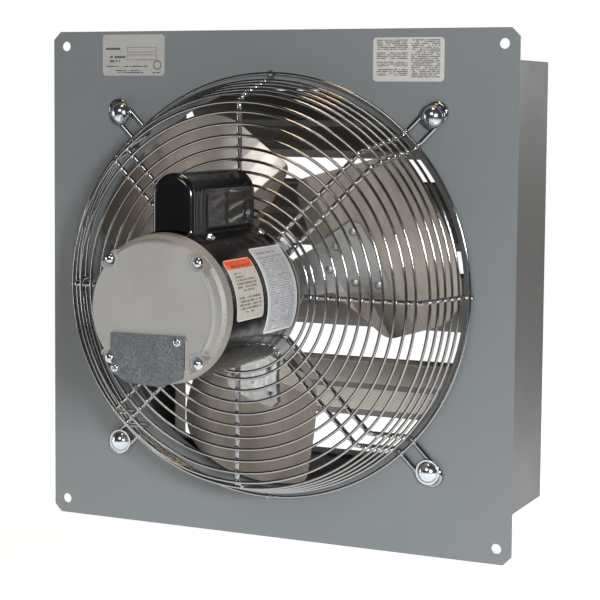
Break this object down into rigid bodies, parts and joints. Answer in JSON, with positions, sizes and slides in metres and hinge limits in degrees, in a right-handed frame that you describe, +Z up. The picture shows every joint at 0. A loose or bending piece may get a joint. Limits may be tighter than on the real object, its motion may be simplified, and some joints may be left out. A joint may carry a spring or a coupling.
{
  "type": "exhaust fan",
  "caption": "Wall-panel exhaust fan with duct box, motor carried on a round wire guard, paddle-blade propeller and free-swinging gravity louvres.",
  "frame": {"origin": "fan axis in the plane of the panel's back face, which lies on the wall", "axes": "+Y the way the air is blown, through the wall; +Z up; +X to the right seen from the motor side"},
  "size_m": [0.527, 0.5069, 0.527],
  "materials": {
    "panel_paint": "satin blue-grey powder coat",
    "box_paint": "satin grey powder coat",
    "guard_chrome": "bright plated wire",
    "motor_black": "gloss black paint",
    "cast_bell": "matte die casting",
    "galvanised": "galvanised spangle",
    "zinc": "bright zinc plate",
    "blade_aluminium": "mill finish sheet",
    "spider_steel": "plated pressing",
    "shutter_aluminium": "mill finish sheet",
    "shaft_steel": "ground steel",
    "electrical_steel": "laminated core",
    "copper": "varnished winding wire",
    "bearing_steel": "polished",
    "nylon": "natural nylon",
    "board": "moulded phenolic",
    "foam": "closed-cell pad",
    "can": "drawn can",
    "label_cream": "printed film",
    "label_silver": "printed foil"
  },
  "bodies": {
    "fan_frame": {"housing_panel": "panel_paint", "housing_top": "box_paint", "housing_bottom": "box_paint", "housing_left": "box_paint", "housing_right": "box_paint", "shutter_frame": "box_paint", "shutter_bushings": "nylon", "shutter_screws": "zinc", "guard_front_rings": "guard_chrome", "guard_side_rings": "guard_chrome", "guard_radials": "guard_chrome", "guard_arms": "guard_chrome", "guard_motor_tabs": "zinc", "guard_mount_bolts": "zinc", "guard_washers": "zinc", "guard_nuts": "zinc", "motor_shell": "motor_black", "motor_front_bell": "cast_bell", "motor_rear_bell": "cast_bell", "stator_core": "electrical_steel", "stator_windings": "copper", "through_bolts": "zinc", "stud_nuts": "zinc", "wiring_cover": "galvanised", "wiring_cover_screws": "zinc", "terminal_board": "board", "capacitor_cover": "motor_black", "capacitor_cover_screws": "zinc", "capacitor": "can", "capacitor_pad": "foam", "bearing_outer_races": "bearing_steel", "bearing_balls": "bearing_steel", "motor_wiring_label": "label_cream", "motor_data_label": "label_silver", "panel_rating_label": "label_silver", "panel_notice_label": "label_silver"},
    "rotor": {"motor_shaft": "shaft_steel", "rotor_core": "electrical_steel", "bearing_inner_races": "bearing_steel", "propeller_hub": "shaft_steel", "propeller_spider": "spider_steel", "propeller_blade_1": "blade_aluminium", "propeller_blade_2": "blade_aluminium", "propeller_blade_3": "blade_aluminium", "propeller_rivets": "zinc", "hub_set_screw": "shaft_steel"},
    "louvre_1": {"shutter_blade_1": "shutter_aluminium", "shutter_rod_1": "zinc"},
    "louvre_2": {"shutter_blade_2": "shutter_aluminium", "shutter_rod_2": "zinc"},
    "louvre_3": {"shutter_blade_3": "shutter_aluminium", "shutter_rod_3": "zinc"},
    "louvre_4": {"shutter_blade_4": "shutter_aluminium", "shutter_rod_4": "zinc"}
  },
  "joints": [
    {"name": "fan_spin", "type": "hinge", "parent": "fan_frame", "child": "rotor", "pos_m": [0, 0, 0], "axis": [0, -1, 0], "continuous": true},
    {"name": "louvre_1_swing", "type": "hinge", "parent": "fan_frame", "child": "louvre_1", "pos_m": [0, 0.178, 0.1995], "axis": [1, 0, 0], "range_deg": [-38, 47]},
    {"name": "louvre_2_swing", "type": "hinge", "parent": "fan_frame", "child": "louvre_2", "pos_m": [0, 0.178, 0.1003], "axis": [1, 0, 0], "range_deg": [-35, 50]},
    {"name": "louvre_3_swing", "type": "hinge", "parent": "fan_frame", "child": "louvre_3", "pos_m": [0, 0.178, 0.0011], "axis": [1, 0, 0], "range_deg": [-40, 45]},
    {"name": "louvre_4_swing", "type": "hinge", "parent": "fan_frame", "child": "louvre_4", "pos_m": [0, 0.178, -0.0981], "axis": [1, 0, 0], "range_deg": [-36, 49]}
  ]
}
